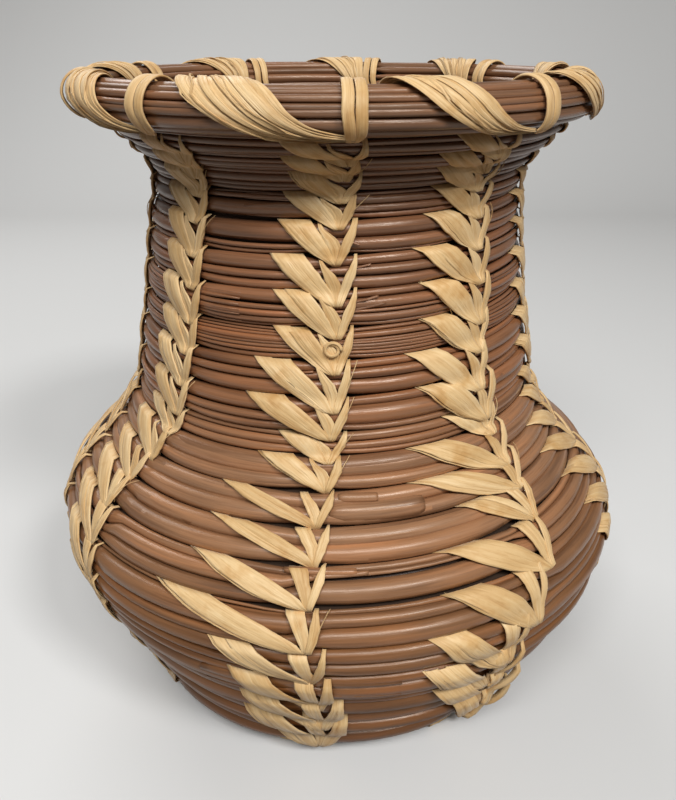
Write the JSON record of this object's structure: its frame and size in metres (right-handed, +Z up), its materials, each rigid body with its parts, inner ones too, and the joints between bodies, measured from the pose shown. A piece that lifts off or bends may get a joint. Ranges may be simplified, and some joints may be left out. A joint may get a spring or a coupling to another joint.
{
  "type": "coiled basket",
  "caption": "Small coiled vase basket with a round belly, narrow neck and flared rolled rim, wound from a stem bundle and sewn with raffia wheat stitch.",
  "frame": {"origin": "middle of the basket's footprint, on the floor it stands on", "axes": "+Z up through the mouth, -Y towards the front of the picture, +X to its right"},
  "size_m": [0.1346, 0.135, 0.1466],
  "materials": {
    "stem_bundle": "dried brown plant stems, slightly glossy",
    "raffia": "flat straw-coloured raffia strip, satin"
  },
  "bodies": {
    "root": {"start_knot": "raffia", "base_coil": "stem_bundle", "belly_coil": "stem_bundle", "neck_coil": "stem_bundle", "rim_coil": "stem_bundle", "stitch_line_1": "raffia", "stitch_line_2": "raffia", "stitch_line_3": "raffia", "stitch_line_4": "raffia", "stitch_line_5": "raffia", "stitch_line_6": "raffia", "stitch_line_7": "raffia", "stitch_line_8": "raffia", "stitch_line_9": "raffia", "rim_wrap_1": "raffia", "rim_wrap_2": "raffia", "rim_wrap_3": "raffia", "rim_wrap_4": "raffia", "rim_wrap_5": "raffia", "rim_wrap_6": "raffia", "rim_wrap_7": "raffia", "rim_wrap_8": "raffia", "rim_wrap_9": "raffia", "rim_band_1": "raffia", "rim_band_2": "raffia", "rim_band_3": "raffia", "rim_band_4": "raffia", "rim_band_5": "raffia", "rim_band_6": "raffia", "rim_band_7": "raffia", "rim_band_8": "raffia", "rim_band_9": "raffia"}
  },
  "joints": []
}
